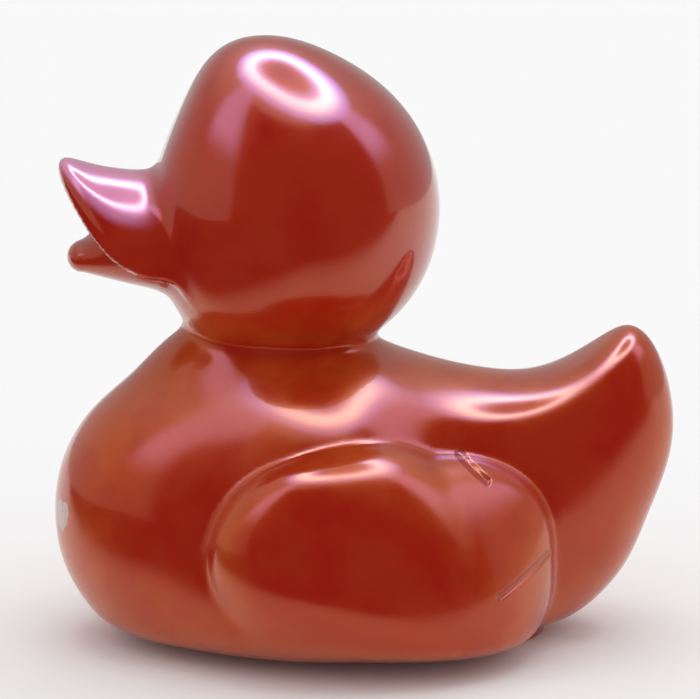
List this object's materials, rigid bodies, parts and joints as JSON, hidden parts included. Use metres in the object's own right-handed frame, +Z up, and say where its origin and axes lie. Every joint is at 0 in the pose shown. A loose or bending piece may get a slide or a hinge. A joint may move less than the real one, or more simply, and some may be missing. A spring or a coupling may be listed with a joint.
{
  "type": "bath duck",
  "caption": "Hollow moulded bath duck with an open beak, raised wings and upturned tail, standing on a flat oval foot",
  "frame": {"origin": "on the ground, under the middle of the duck's overall box", "axes": "+Z up, the duck faces -Y, its left side is +X; the duck is mirror-symmetric about the plane X = 0"},
  "size_m": [0.0713, 0.0908, 0.0883],
  "materials": {
    "red_vinyl": "glossy pearlescent red lustre"
  },
  "bodies": {
    "root": {"duck_body": "red_vinyl"}
  },
  "joints": []
}
